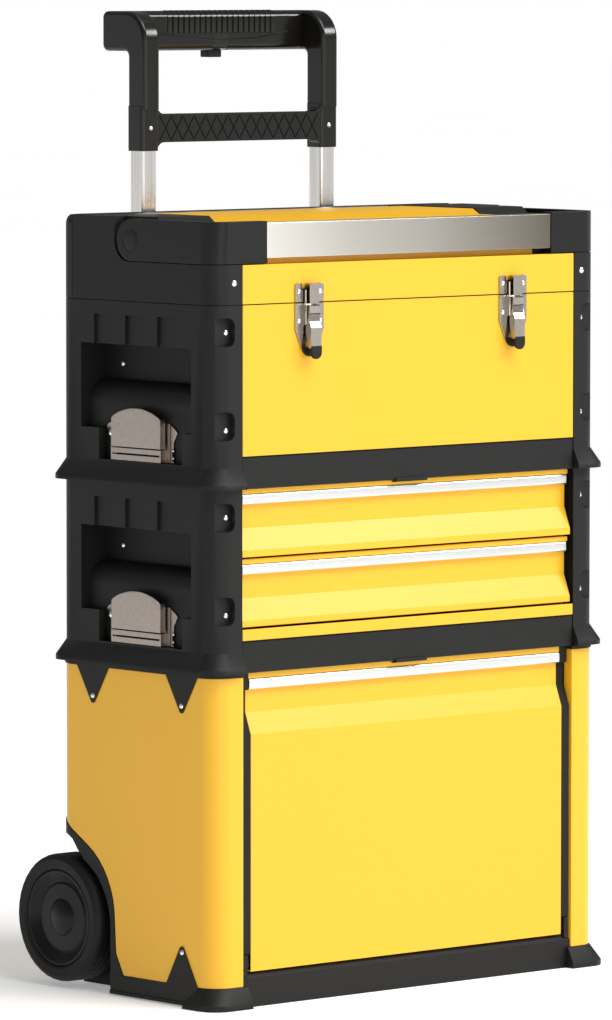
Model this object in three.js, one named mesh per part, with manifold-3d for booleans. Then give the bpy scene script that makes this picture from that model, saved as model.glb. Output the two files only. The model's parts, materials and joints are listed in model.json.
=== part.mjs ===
// Rolling tool box in three stacked modules: a bin on wheels with a telescopic handle, a cabinet with two
// drawers, and a lidded tool box. Millimetres, +Z up, +Y to the back; z = 0 is the ground.
import * as THREE from 'three';
import { mergeVertices } from 'three/addons/utils/BufferGeometryUtils.js';
import Module from 'manifold-3d';

const wasm = await Module();
wasm.setup();

// ---- Driving dimensions ----
const HALF_BODY = 265.7; // from the middle to the outside of a plastic end cap
const HALF_PANEL = 228.35; // from the middle to the edge of a steel front panel
const FRONT = -160; // y of the front panels
const DEPTH = 247; // front panels to back panels
const CORNER = 23; // radius of the upright corners
const GAP = 0.3; // between neighbouring pieces
const SHEET = 1.5; // steel sheet
const WALL = 3; // plastic moulding

const BASE_BOTTOM = 1.8; // the feet reach down to 0
const BASE_TOP = 21.6;
const SILL_TOP = 34.5;
const FRAME_TOP = 338.8; // top of the bottom module
const MIDDLE_FOOT = 339.1; // bottom of the drawer cabinet
const TOP_FOOT = 524.8; // bottom of the tool box
const RAIL = 31.7; // height of the black band at the foot of the two upper modules
const SEAM = 709.5; // where the lid meets the tool box
const LID_TOP = 794.9;
const LID_STEP = 788.5; // the lid's lower front shelf behind the carrying handle
const LID_REAR = 221; // depth at which the lid ends and the fixed hinge rail begins
const HINGE = { d: 225.35, z: 791.4 }; // lid hinge axis

const SKIRT_OUT = 8; // how far a module's skirt stands out
const BASE_OUT = 9.5;
const FRONT_HALF = 226.5; // half width of a drawer front
const DOOR_HALF = 215.2;
const CHEEK_HALF = 225.5;
const BIN_AXIS = { d: 6.5, z: 42.5 };

const ARM_PIVOT = { d: 130.6, z: 771.6 }; // carrying handle
const ARM_HALF_HEIGHT = 21.2;
const ARM_THICK = 12;
const BAR_HALF = 195.4;

const WHEEL = { d: 240, z: 72, r: 66, width: 40, x: 253.4 }; // 6 mm clear of the ground at rest
const WELL = { d: 235, z: 69, r: 73 };
const AXLE_R = 5;
const TIP_ROUND = 3.5; // at the end of a triangular plastic tooth

const TUBE_X = 123.6; // telescopic tubes
const TUBE_D = 278;
const INNER_TUBE = 20.3;
const OUTER_TUBE = 24.5;
const SLEEVE_BOTTOM = 856;
const GRIP_BOTTOM = 902.8;
const GRIP_TOP = 1000.5;
const GRIP_BACK = 332;

const LATCH_X = 140.35; // middle of a front draw latch
const LATCH_FRONT = -12;

const yellow = () => new THREE.MeshStandardMaterial({ color: 0xf2b90f, roughness: 0.35, metalness: 0.0 });
const black = () => new THREE.MeshStandardMaterial({ color: 0x262626, roughness: 0.6, metalness: 0.0 });
const gloss = () => new THREE.MeshStandardMaterial({ color: 0x1d1d1d, roughness: 0.3, metalness: 0.0 });
const steel = () => new THREE.MeshStandardMaterial({ color: 0xb9b4ac, roughness: 0.35, metalness: 1.0 });
const aluminium = () => new THREE.MeshStandardMaterial({ color: 0xdadada, roughness: 0.3, metalness: 1.0 });
const rubber = () => new THREE.MeshStandardMaterial({ color: 0x222222, roughness: 0.8, metalness: 0.0 });

// ---- Solids ----
function solid(geometry) {
  const bare = geometry.clone();
  bare.deleteAttribute('normal');
  bare.deleteAttribute('uv');
  const merged = mergeVertices(bare, 1e-4);
  return new wasm.Manifold(new wasm.Mesh({
    numProp: 3,
    vertProperties: new Float32Array(merged.attributes.position.array),
    triVerts: new Uint32Array(merged.index.array),
  }));
}

function geometryOf(piece) {
  const mesh = piece.getMesh();
  const geometry = new THREE.BufferGeometry();
  geometry.setAttribute('position', new THREE.BufferAttribute(new Float32Array(mesh.vertProperties), 3));
  geometry.setIndex(new THREE.BufferAttribute(new Uint32Array(mesh.triVerts), 1));
  return geometry;
}

const joined = (first, ...rest) => rest.reduce((sum, piece) => sum.add(piece), first);
const cut = (first, ...rest) => rest.reduce((left, piece) => left.subtract(piece), first);

// Depths in the helpers below are measured back from the front panels.
function box(x0, x1, d0, d1, z0, z1) {
  const geometry = new THREE.BoxGeometry(x1 - x0, d1 - d0, z1 - z0);
  geometry.translate((x0 + x1) / 2, FRONT + (d0 + d1) / 2, (z0 + z1) / 2);
  return solid(geometry);
}

function extruded(points, length) {
  const shape = new THREE.Shape(points.map(([u, v]) => new THREE.Vector2(u, v)));
  return new THREE.ExtrudeGeometry(shape, { depth: length, bevelEnabled: false });
}

// points are [x, y] seen from above
function prismZ(points, z0, z1) {
  const geometry = extruded(points, z1 - z0);
  geometry.translate(0, 0, z0);
  return solid(geometry);
}

// points are [depth, z] seen from the side
function prismX(points, x0, x1) {
  const geometry = extruded(points, x1 - x0);
  const sideways = new THREE.Matrix4().makeBasis(
    new THREE.Vector3(0, 1, 0), new THREE.Vector3(0, 0, 1), new THREE.Vector3(1, 0, 0));
  geometry.applyMatrix4(sideways);
  geometry.translate(x0, FRONT, 0);
  return solid(geometry);
}

// points are [x, z] seen from the front
function prismY(points, d0, d1) {
  const geometry = extruded(points, d1 - d0);
  const upright = new THREE.Matrix4().makeBasis(
    new THREE.Vector3(1, 0, 0), new THREE.Vector3(0, 0, 1), new THREE.Vector3(0, -1, 0));
  geometry.applyMatrix4(upright);
  geometry.translate(0, FRONT + d1, 0);
  return solid(geometry);
}

function rodX(d, z, x0, x1, radius, sides = 16) {
  const geometry = new THREE.CylinderGeometry(radius, radius, x1 - x0, sides);
  geometry.rotateZ(Math.PI / 2);
  geometry.translate((x0 + x1) / 2, FRONT + d, z);
  return solid(geometry);
}

function rodZ(x, d, z0, z1, radius, sides = 16) {
  const geometry = new THREE.CylinderGeometry(radius, radius, z1 - z0, sides);
  geometry.rotateX(Math.PI / 2);
  geometry.translate(x, FRONT + d, (z0 + z1) / 2);
  return solid(geometry);
}

function arc(u, v, radius, from, to, steps) {
  const points = [];
  for (let i = 0; i <= steps; i++) {
    const a = THREE.MathUtils.degToRad(from + ((to - from) * i) / steps);
    points.push([u + radius * Math.cos(a), v + radius * Math.sin(a)]);
  }
  return points;
}

// Rounded rectangle, anticlockwise
function rounded(u0, u1, v0, v1, r, steps = 6) {
  return [
    ...arc(u1 - r, v1 - r, r, 0, 90, steps), ...arc(u0 + r, v1 - r, r, 90, 180, steps),
    ...arc(u0 + r, v0 + r, r, 180, 270, steps), ...arc(u1 - r, v0 + r, r, 270, 360, steps),
  ];
}

// The box's outline from above, grown or shrunk by offset; shrinking makes the corners tighter
function outline(offset) {
  const half = HALF_BODY + offset;
  const r = CORNER + Math.min(offset, 0);
  return rounded(-half, half, FRONT - offset, FRONT + DEPTH + offset, r);
}

// A closed skin over outlines [z, offset] at rising heights
function loft(levels) {
  const rings = levels.map(([z, offset]) => outline(offset).map(([x, y]) => [x, y, z]));
  const n = rings[0].length;
  const index = [];
  for (let k = 0; k < rings.length - 1; k++) {
    for (let i = 0; i < n; i++) {
      const a = k * n + i;
      const b = k * n + ((i + 1) % n);
      index.push(a, b, b + n, a, b + n, a + n);
    }
  }
  const top = (rings.length - 1) * n;
  for (let i = 1; i < n - 1; i++) {
    index.push(0, i + 1, i, top, top + i, top + i + 1);
  }
  const geometry = new THREE.BufferGeometry();
  geometry.setAttribute('position', new THREE.BufferAttribute(new Float32Array(rings.flat(2)), 3));
  geometry.setIndex(index);
  return solid(geometry);
}

// A strip of the given thickness along an open path, on the path's left
function strip(path, thickness) {
  const lines = path.slice(1).map(([u, v], i) => {
    const [a, b] = path[i];
    const length = Math.hypot(u - a, v - b);
    const normal = [-(v - b) / length, (u - a) / length];
    return { a: a + normal[0] * thickness, b: b + normal[1] * thickness, du: u - a, dv: v - b };
  });
  const inner = [[lines[0].a, lines[0].b]];
  for (let i = 1; i < lines.length; i++) {
    const p = lines[i - 1];
    const q = lines[i];
    const cross = p.du * q.dv - p.dv * q.du;
    const t = ((q.a - p.a) * q.dv - (q.b - p.b) * q.du) / cross;
    inner.push([p.a + p.du * t, p.b + p.dv * t]);
  }
  const last = lines[lines.length - 1];
  inner.push([last.a + last.du, last.b + last.dv]);
  return [...path, ...inner.reverse()];
}

function mirrored(geometry) {
  const twin = geometry.clone();
  twin.scale(-1, 1, 1);
  const index = twin.index.array;
  for (let i = 0; i < index.length; i += 3) {
    const keep = index[i];
    index[i] = index[i + 1];
    index[i + 1] = keep;
  }
  return twin;
}

const tool_box = new THREE.Group();

function add(name, piece, material) {
  const geometry = piece.isBufferGeometry ? piece : geometryOf(piece);
  const mesh = new THREE.Mesh(geometry, material);
  mesh.name = name;
  tool_box.add(mesh);
}

// The same piece on the left and, mirrored, on the right
function addPair(name, piece, material) {
  const left = piece.isBufferGeometry ? piece : geometryOf(piece);
  add(`${name}_left`, left, material());
  add(`${name}_right`, mirrored(left), material());
}

// ---- End caps of the two upper modules ----
// Heights here are measured up from the module's foot.
const POCKET = { front: 36, back: 208.3, top: 140.6, grip: 104.7, foot: 54.7 };
const LATCH_BAY = { front: 50, back: 180, foot: 22.9 };
const POCKET_FLOOR = 231; // |x| of the wall behind the fingers
const BAY_FLOOR = 255; // |x| of the wall behind the side latch
const RECESS_HEIGHTS = [63.4, 157.5];
const PADS = [[60.6, 88.5], [110.4, 138.6], [159, 187.5]];

// Side profile of the hand pocket, as [x, z] on the left: deep above, with a rounded grip below
function pocketProfile(foot, grow, low) {
  const grip = arc(-POCKET_FLOOR - 2, foot + POCKET.grip - 24, 22 - grow, 90, 180, 5);
  return [
    [-HALF_BODY - 6, foot + POCKET.top + grow], [-POCKET_FLOOR + grow, foot + POCKET.top + grow],
    [-POCKET_FLOOR + grow, foot + POCKET.grip - 2], ...grip,
    [-BAY_FLOOR + grow, foot + low - grow], [-HALF_BODY - 6, foot + low - grow],
  ];
}

function rivetRecess(foot, height, grow, depth) {
  const z = foot + height;
  const half = 14.4 + grow;
  const r = 8 + grow;
  const points = [
    [-HALF_BODY - 12, z - half], ...arc(-246.6, z - half + r, r, -90, 0, 4),
    ...arc(-246.6, z + half - r, r, 0, 90, 4), [-HALF_BODY - 12, z + half],
  ];
  return { front: prismY(points, -6, depth), back: prismY(points, DEPTH - depth, DEPTH + 6) };
}

function endCap(foot, top) {
  const skin = loft([[foot, SKIRT_OUT], [foot + 4.7, SKIRT_OUT], [foot + 21, 0], [top, 0]]);
  const half = box(-300, -HALF_PANEL - GAP, -20, DEPTH + 20, foot - 5, top + 5);
  let cap = skin.intersect(half);
  const hollow = loft([[foot - 1, -WALL], [top - WALL, -WALL]])
    .intersect(box(-300, -HALF_PANEL - GAP - 2, -20, DEPTH + 20, foot - 5, top + 5));
  cap = cap.subtract(hollow);

  const inside = skin.intersect(half);
  const liner = joined(
    prismY(pocketProfile(foot, 2.2, POCKET.foot), POCKET.front - 2.2, POCKET.back + 2.2),
    prismY(pocketProfile(foot, 2.2, LATCH_BAY.foot), LATCH_BAY.front - 2.2, LATCH_BAY.back + 2.2),
    box(-HALF_BODY, -HALF_BODY + 6, PADS[0][0] - 3, PADS[2][1] + 3, foot + POCKET.top, foot + 174));
  cap = cap.add(liner.intersect(inside));
  for (const height of RECESS_HEIGHTS) {
    const boss = rivetRecess(foot, height, 2.4, 9.4);
    cap = cap.add(joined(boss.front, boss.back).intersect(inside));
  }

  cap = cut(cap,
    prismY(pocketProfile(foot, 0, POCKET.foot), POCKET.front, POCKET.back),
    prismY(pocketProfile(foot, 0, LATCH_BAY.foot), LATCH_BAY.front, LATCH_BAY.back));
  for (const [front, back] of PADS) {
    cap = cap.subtract(box(-300, -HALF_BODY + 3, front, back, foot + POCKET.top - 4, foot + 170.7));
  }
  for (const height of RECESS_HEIGHTS) {
    const recess = rivetRecess(foot, height, 0, 7);
    cap = cut(cap, recess.front, recess.back);
  }
  return cap;
}

// Black band and floor between the two end caps of a module
function baseTray(foot) {
  const top = foot + RAIL;
  return cut(
    box(-HALF_PANEL + GAP, HALF_PANEL - GAP, 0.5, DEPTH - 0.5, foot, top),
    box(-HALF_PANEL + 3, HALF_PANEL - 3, 3.5, DEPTH - 3.5, foot - 1, top - 2.5));
}

// ---- Side latch: a bracket in the end cap and a lever hinged at its lower edge ----
const SIDE_LEVER = { front: 84.4, back: 161.2, axisX: 263.9, axis: 38.2 };

function sideBracket(foot) {
  const { front, back } = SIDE_LEVER;
  const ear = 17;
  const waist = 11;
  const plate = prismX([
    [front - waist, foot + 23.4], [back + waist, foot + 23.4], [back + waist, foot + 46],
    [back + ear, foot + 56], [back + ear - 3, foot + 59], [back + 4, foot + 63], [front - 4, foot + 63],
    [front - ear + 3, foot + 57], [front - ear, foot + 54], [front - waist, foot + 44],
  ], -BAY_FLOOR - 1.8, -BAY_FLOOR - GAP);
  const barrel = box(-264.6, -BAY_FLOOR - 1, front, back + 1, foot + 23.4, foot + 36.2);
  const slot = box(-266, -262.5, front + 2, back - 1, foot + 29, foot + 30.8);
  return joined(plate, barrel).subtract(slot);
}

function sideLever(foot) {
  const { front, back } = SIDE_LEVER;
  const low = foot + 37;
  const middle = (front + back) / 2;
  const reach = (back - front) / 2;
  const rise = 10;
  const radius = (reach * reach + rise * rise) / (2 * rise);
  const span = THREE.MathUtils.radToDeg(Math.asin((reach - 3) / radius));
  const crown = arc(middle, foot + 77.2 - radius, radius, 90 - span, 90 + span, 8);
  const face = [[front, low], [back, low], [back, foot + 66], ...crown, [front, foot + 66]];
  return cut(
    prismX(face, -265.2, -258.4),
    box(-263.7, -250, front + SHEET, back - SHEET, foot + 30, foot + 90));
}

for (const [module, foot, top] of [['middle', MIDDLE_FOOT, TOP_FOOT - GAP], ['top', TOP_FOOT, SEAM - GAP]]) {
  addPair(`${module}_end_cap`, endCap(foot, top), black);
  add(`${module}_base_tray`, baseTray(foot), black());
  addPair(`${module}_latch_bracket`, sideBracket(foot), steel);
  addPair(`${module}_latch_lever`, sideLever(foot), steel);
}

// ---- Tool box body ----
function topShell() {
  const floor = TOP_FOOT + RAIL + GAP;
  const half = HALF_PANEL - GAP;
  const walls = cut(
    box(-half, half, 0, DEPTH, floor, SEAM - GAP),
    box(-half + SHEET, half - SHEET, SHEET, DEPTH - SHEET, floor + SHEET, SEAM + 1));
  const rim = cut(
    box(-half + 1, half - 1, 1, DEPTH - 1, SEAM - 12, SEAM - 12 + SHEET),
    box(-half + 8, half - 8, 8, DEPTH - 8, SEAM - 14, SEAM));
  return walls.add(rim);
}
add('top_shell', topShell(), yellow());

// ---- Lid ----
function lidPanel() {
  const front = [[0, SEAM + GAP], [0, 749.3], [14.5, 749.3], [14.5, LID_STEP]];
  const section = strip([
    [LID_REAR, SEAM + GAP], [LID_REAR, 791], [214, 794], [105, 794], [95, LID_STEP],
    ...front.slice().reverse(),
  ], SHEET);
  const half = HALF_PANEL - GAP;
  const facia = strip([...front.slice(0, 3)].reverse(), SHEET);
  return joined(
    prismX(section, -182.7, 182.7),
    prismX(facia, -half, half),
    box(-half, half, LID_REAR - SHEET, LID_REAR, SEAM + GAP, 750));
}

function handleSlot(under, behind) {
  const r = ARM_HALF_HEIGHT + under;
  const back = ARM_PIVOT.d + behind;
  return prismX([
    [-20, ARM_PIVOT.z - r], ...arc(back, ARM_PIVOT.z, r, -90, 0, 8), [back + r, 810], [-20, 810],
  ], -300, 300);
}

function lidCap() {
  const low = SEAM + GAP;
  const region = joined(
    box(-300, -HALF_PANEL - GAP, -5, LID_REAR, low, LID_TOP),
    box(-300, -183, -5, LID_REAR, 750.8, LID_TOP));
  let cap = prismZ(outline(0), low, LID_TOP).intersect(region);
  const channel = prismZ(outline(5), ARM_PIVOT.z - 30, 810)
    .subtract(prismZ(outline(-ARM_THICK - 2.2), ARM_PIVOT.z - 31, 811));
  cap = cap.subtract(channel.intersect(handleSlot(0.7, 3)));
  const hollow = joined(
    prismZ(outline(-2.6), low - 1, 747.3).intersect(box(-300, -231.2, 0, LID_REAR - 2.6, low - 2, 750)),
    prismZ(outline(-17.4), low - 1, 785.6).intersect(box(-300, -231.2, 0, LID_REAR - 2.6, low - 2, 790)),
    box(-232, -185.6, 17.5, LID_REAR - 2.6, 753.2, 785.6));
  const shelf = prismX([[-20, LID_STEP], [95, LID_STEP], [105, 795.6], [105, 810], [-20, 810]], -300, 0);
  const chamfer = prismX(
    [[213, LID_TOP + 0.1], [LID_REAR + 1, 790.6], [LID_REAR + 1, 800], [213, 800]], -300, 0);
  const bore = rodX(ARM_PIVOT.d, ARM_PIVOT.z, -262, -245, 8.2, 24);
  return cut(cap, hollow, shelf, chamfer, bore);
}

// Body of the rail, whose upper edge is rounded along the back and round both rear corners
function railBlock() {
  const round = 9;
  const points = [];
  for (const side of [-1, 1]) {
    for (const z of [SEAM + GAP, LID_TOP]) points.push([side * HALF_BODY, FRONT + 200, z]);
    for (let rise = 0; rise <= 90; rise += 22.5) {
      const up = rise * Math.PI / 180;
      for (let turn = 0; turn <= 90; turn += 15) {
        const r = CORNER - round * (1 - Math.cos(up)) * Math.min(1, turn / 45);
        const a = turn * Math.PI / 180;
        const x = side * (HALF_BODY - CORNER + r * Math.cos(a));
        const y = FRONT + DEPTH - CORNER + r * Math.sin(a);
        points.push([x, y, LID_TOP - round + round * Math.sin(up)]);
        if (rise === 0) points.push([x, y, SEAM + GAP]);
      }
    }
  }
  return wasm.Manifold.hull(points);
}

function hingeRail() {
  const front = 229.7;
  const profile = [
    [LID_REAR + 0.5, SEAM + GAP], [DEPTH + 1, SEAM + GAP], [DEPTH + 1, LID_TOP + 1],
    [front, LID_TOP + 1], [front, 786], [LID_REAR + 0.5, 786],
  ];
  return cut(
    railBlock().intersect(prismX(profile, -300, 300)),
    prismZ(outline(-2.6), SEAM - 1, 783).intersect(box(-300, 300, front + 2.6, DEPTH, SEAM - 2, 800)),
    box(-171.5, 171.5, 200, front, 760, 800));
}

// A leaf's plate stops below the barrel and reaches up to it only at its own knuckles
function hingeLeaf(plate, web, knuckles, bored) {
  let leaf = box(-170, 170, plate[0], plate[1], 762, HINGE.z - 3.1);
  for (const [from, to] of knuckles) {
    leaf = joined(leaf,
      box(from, to, web[0], web[1], HINGE.z - 4, HINGE.z), rodX(HINGE.d, HINGE.z, from, to, 2.8, 12));
  }
  return bored ? leaf.subtract(rodX(HINGE.d, HINGE.z, -200, 200, 1.8, 12)) : leaf;
}

add('lid_panel', lidPanel(), yellow());
addPair('lid_end_cap', lidCap(), black);
add('hinge_rail', hingeRail(), black());
const box_leaf = hingeLeaf([227.4, 229.4], [226.5, 229.4], [[-170, -110], [-35, 35], [110, 170]], false);
add('hinge_leaf_and_pin', box_leaf.add(rodX(HINGE.d, HINGE.z, -168, 168, 1.35, 12)), steel());
const lid_leaf = hingeLeaf([221.3, 223.3], [221.3, 224.2], [[-109.6, -35.4], [35.4, 109.6]], true);
add('hinge_leaf_lid', lid_leaf, steel());

// ---- Carrying handle ----
function handleArm() {
  const ring = prismZ(outline(0), 740, 800).subtract(prismZ(outline(-ARM_THICK), 739, 801));
  const r = ARM_HALF_HEIGHT;
  const side = prismX([
    [-20, ARM_PIVOT.z - r], ...arc(ARM_PIVOT.d, ARM_PIVOT.z, r, -90, 90, 12), [-20, ARM_PIVOT.z + r],
  ], -300, -BAR_HALF - GAP);
  const stub = rodX(ARM_PIVOT.d, ARM_PIVOT.z, -256, -246.5, 7.6, 24);
  return ring.intersect(side).add(stub);
}
addPair('carry_handle_arm', handleArm(), gloss);
add('carry_handle_bar', box(-BAR_HALF, BAR_HALF, 0.5, 11.5, 755.2, 791.4), steel());

// ---- Front draw latches ----
const latchX = (offset) => -LATCH_X + offset;

function latchBase() {
  const top = SEAM - 0.8;
  return prismY([
    [latchX(-19), top], [latchX(-19), SEAM - 26], [latchX(-12), SEAM - 47], [latchX(12), SEAM - 47],
    [latchX(19), SEAM - 26], [latchX(19), top],
  ], -1.8, -GAP);
}

function latchLever() {
  const back = -3;
  const side = [
    [back, SEAM - 8], [-5.5, SEAM - 3], [-9.5, SEAM - 2.2], [-11, SEAM - 4.5], [-10.5, SEAM - 11],
    [-9.8, SEAM - 19],
    [LATCH_FRONT, SEAM - 25], [LATCH_FRONT, SEAM - 46],
    [-11, SEAM - 55], [-8.5, SEAM - 57.5], [-6, SEAM - 54], [-6, SEAM - 48], [back, SEAM - 38],
  ];
  return cut(
    prismX(side, latchX(-7.5), latchX(7.5)),
    box(latchX(-6), latchX(6), -8.3, 0, SEAM - 44, SEAM - 7));
}

function latchStrike() {
  const plate = box(latchX(-19), latchX(19), -1.8, -GAP, SEAM + 0.8, SEAM + 19.5);
  const crown = prismX([
    [-1.5, SEAM + 0.8], [-2.4, SEAM + 0.8], [-2.4, SEAM - 1], [-9.2, SEAM - 1], [-9.2, SEAM + 12],
    [-7, SEAM + 17],
    [-1.5, SEAM + 18],
  ], latchX(-7.5), latchX(7.5));
  const claw = (from, to) => joined(
    box(from, to, -9.2, -2.5, SEAM - 18, SEAM + 12),
    box(from, to, -4, -1, SEAM + 2, SEAM + 12));
  const bridge = box(latchX(-9.2), latchX(9.2), -8.6, -3, SEAM + 1.5, SEAM + 11);
  return joined(plate, crown, claw(latchX(-9.4), latchX(-7.9)), claw(latchX(7.9), latchX(9.4)), bridge);
}
addPair('draw_latch_base', latchBase(), steel);
addPair('draw_latch_lever', latchLever(), steel);
addPair('draw_latch_strike', latchStrike(), steel);

// ---- Folded fronts of the drawers and the bin ----
// A front folds back under its lip to seat the pull, then out again over a slope to its lower part.
function foldedFront(half, top, lip, pull, upright, slope, bottom, tail) {
  const path = [
    [tail, top], [6.4, top], [6.4, top - lip], [8.2, top - lip], [8.2, top - pull], [11.2, top - pull],
    [11.2, top - upright], [2.4, top - slope], [2.4, bottom], [tail, bottom],
  ];
  return prismX(strip(path, SHEET), -half, half);
}

function pullStrip(half, top, bottom) {
  return prismX([
    [7.9, top], [6.2, top], [5.2, top - 1.5], [5.2, bottom + 1.5], [6.2, bottom], [7.9, bottom],
  ], -half, half);
}

// Finger catch on the middle of a front's top edge
function catchTab(top) {
  return prismX(
    [[-1.3, top + 2], [-1.3, top - 1.6], [6, top - 2.4], [6, top - 1], [0.1, top - 1], [0.1, top + 2]],
    -21.4, 21.4);
}

// ---- Drawer cabinet ----
const STRIP_TOP = 383.1;
const DRAWERS = [
  { name: 'upper_drawer', top: 524.1, bottom: 455.6 },
  { name: 'lower_drawer', top: 453.4, bottom: 385.1 },
];
const RUNNER_RISE = 35; // runner's middle above the front's lower edge
const CHANNEL_HALF = 11.7;

function cabinetShell() {
  const low = MIDDLE_FOOT + RAIL + GAP + 0.4;
  const high = TOP_FOOT - 2 * GAP;
  const half = HALF_PANEL - GAP;
  return joined(
    cut(box(-half, half, 15, DEPTH, low, high),
      box(-half + SHEET, half - SHEET, 10, DEPTH - SHEET, low + SHEET, high - SHEET)),
    box(-half, half, 0, 16, low, low + SHEET),
    box(-half, half, 0, SHEET, low, STRIP_TOP));
}

function slidePlate() {
  const wall = -HALF_PANEL + GAP + SHEET + GAP;
  let plate = box(wall, wall + SHEET, 20, 235, 392, 516);
  for (const { bottom } of DRAWERS) {
    const z = bottom + RUNNER_RISE;
    for (const side of [-1, 1]) {
      const edge = z + side * CHANNEL_HALF;
      const [low, high] = [edge, edge - side * SHEET].sort((a, b) => a - b);
      plate = plate.add(box(wall, wall + 10, 20, 235, low, high));
    }
  }
  return plate;
}

function drawerTray({ bottom, top }) {
  const low = bottom + 8;
  const high = top - 9;
  const z = bottom + RUNNER_RISE;
  const runner = box(-224, 224, 18, 222, z - 8.5, z + 8.5);
  const body = box(-207, 207, 13, 222, low, high);
  return cut(joined(body, runner), box(-205.5, 205.5, 13 + SHEET, 222 - SHEET, low + SHEET, high + 5));
}

add('cabinet_shell', cabinetShell(), yellow());
addPair('slide_plate', slidePlate(), steel);
for (const drawer of DRAWERS) {
  const { name, top, bottom } = drawer;
  add(`${name}_tray`, drawerTray(drawer), black());
  add(`${name}_front`, foldedFront(FRONT_HALF, top, 5.1, 15.8, 39.4, 62, bottom, 12.6), yellow());
  add(`${name}_pull`, pullStrip(FRONT_HALF - 2.7, top - 5.4, top - 15.5), aluminium());
}
add('drawer_catch', catchTab(DRAWERS[0].top), black());

// ---- Bottom module ----
// Side outline of the wheel arch, as [depth, z]; inset makes it smaller
function archOutline(inset, low) {
  return [
    [142 + inset, low], [142 + inset, 21.9], [154 + inset, 44], ...arc(240, 77.5, 84 - inset, 180, 120, 8),
    [262, 187.2 - inset], [262, low],
  ];
}

function bottomShell() {
  const half = HALF_PANEL - 1.05;
  const back = FRONT + DEPTH;
  const c = HALF_BODY - CORNER;
  const path = [
    [half, FRONT + 12], [half, FRONT], ...arc(c, FRONT + CORNER, CORNER, -90, 0, 6),
    ...arc(c, back - CORNER, CORNER, 0, 90, 6), ...arc(-c, back - CORNER, CORNER, 90, 180, 6),
    ...arc(-c, FRONT + CORNER, CORNER, 180, 270, 6), [-half, FRONT], [-half, FRONT + 12],
  ];
  const arch = archOutline(0, 0);
  return cut(
    prismZ(strip(path, SHEET), BASE_TOP + GAP, 335.2),
    prismX(arch, -300, -227.2),
    prismX(arch, 227.2, 300));
}

function tooth(front, back, root, tip, x0, x1) {
  const middle = (front + back) / 2;
  const lean = Math.atan2((back - front) / 2, Math.abs(tip - root)) * 180 / Math.PI;
  const point = tip > root
    ? arc(middle, tip - TIP_ROUND, TIP_ROUND, lean, 180 - lean, 6)
    : arc(middle, tip + TIP_ROUND, TIP_ROUND, -lean, lean - 180, 6);
  return prismX([[front, root], [back, root], ...point], x0, x1);
}

function baseTub() {
  const foot = loft([[0, BASE_OUT], [6, BASE_OUT], [BASE_TOP, 1.2]])
    .intersect(prismX([[-20, -1], [41, -1], [37, 6], [24.8, BASE_TOP + 1], [-20, BASE_TOP + 1]], -300, 300));
  let tub = loft([[BASE_BOTTOM, 2], [5, 2], [6, 1], [BASE_TOP, 1.2]]).add(foot).intersect(
    box(-300, 300, -20, DEPTH, -1, 60));
  tub = cut(tub,
    box(-222, 222, -20, 2, -1, 60),
    loft([[-1, -4], [18, -4]]).intersect(box(-300, 300, 6, DEPTH - 4, -2, 60)));
  const sill = prismX(
    [[2, BASE_BOTTOM], [2, 29.5], [7, SILL_TOP], [12, SILL_TOP], [12, BASE_BOTTOM]], -226.9, 226.9);
  tub = tub.add(sill);
  for (const side of [-1, 1]) {
    const span = (inner, outer) => [side * inner, side * outer].sort((a, b) => a - b);
    const [a, b] = span(227.5, HALF_BODY + 0.7);
    const arch = prismX(archOutline(0.4, BASE_BOTTOM), a, b).intersect(prismZ(outline(0.7), 0, 200));
    const [c, e] = span(266, HALF_BODY + 1.2);
    const [f, g] = span(219.5, 225.2);
    tub = joined(tub, arch,
      tooth(24.8, 74.6, BASE_TOP - 1, 61.5, c, e), box(f, g, 2.6, 14, SILL_TOP - 3, 53.4));
    const [p, q] = span(230.5, 290);
    tub = cut(tub,
      rodX(WELL.d, WELL.z, p, q, WELL.r, 40),
      box(p, q, WELL.d, 300, -5, WELL.z + WELL.r),
      box(p, q, WELL.d - WELL.r, 300, -5, WELL.z),
      prismX(
        [[205, 100], [205, 137], [214, 144.5], [223, 155.5], [232, 159.5], [300, 159.5], [300, 100]], p, q),
      rodX(BIN_AXIS.d, BIN_AXIS.z, side * 222 - 8, side * 222 + 8, 2.8, 16));
    tub = tub.add(rodZ(side * 240, 14, 0, 19, 12, 20));
  }
  return tub.subtract(rodX(WHEEL.d, WHEEL.z, -240, 240, AXLE_R + 0.4, 20));
}

function topFrame() {
  let frame = loft([[335.5, 1.2], [FRAME_TOP, 1.2]]).subtract(box(-226.4, 226.4, -20, 15.6, 300, 345));
  for (const [x0, x1] of [[-HALF_BODY - 1.2, -HALF_BODY - GAP], [HALF_BODY + GAP, HALF_BODY + 1.2]]) {
    for (const [front, back] of [[23.5, 76.5], [162, 216.5]]) {
      frame = frame.add(tooth(front, back, FRAME_TOP, 297.6, x0, x1));
    }
  }
  return frame;
}

add('bottom_shell', bottomShell(), yellow());
add('base_tub', baseTub(), black());
add('bottom_top_frame', topFrame(), black());

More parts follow.
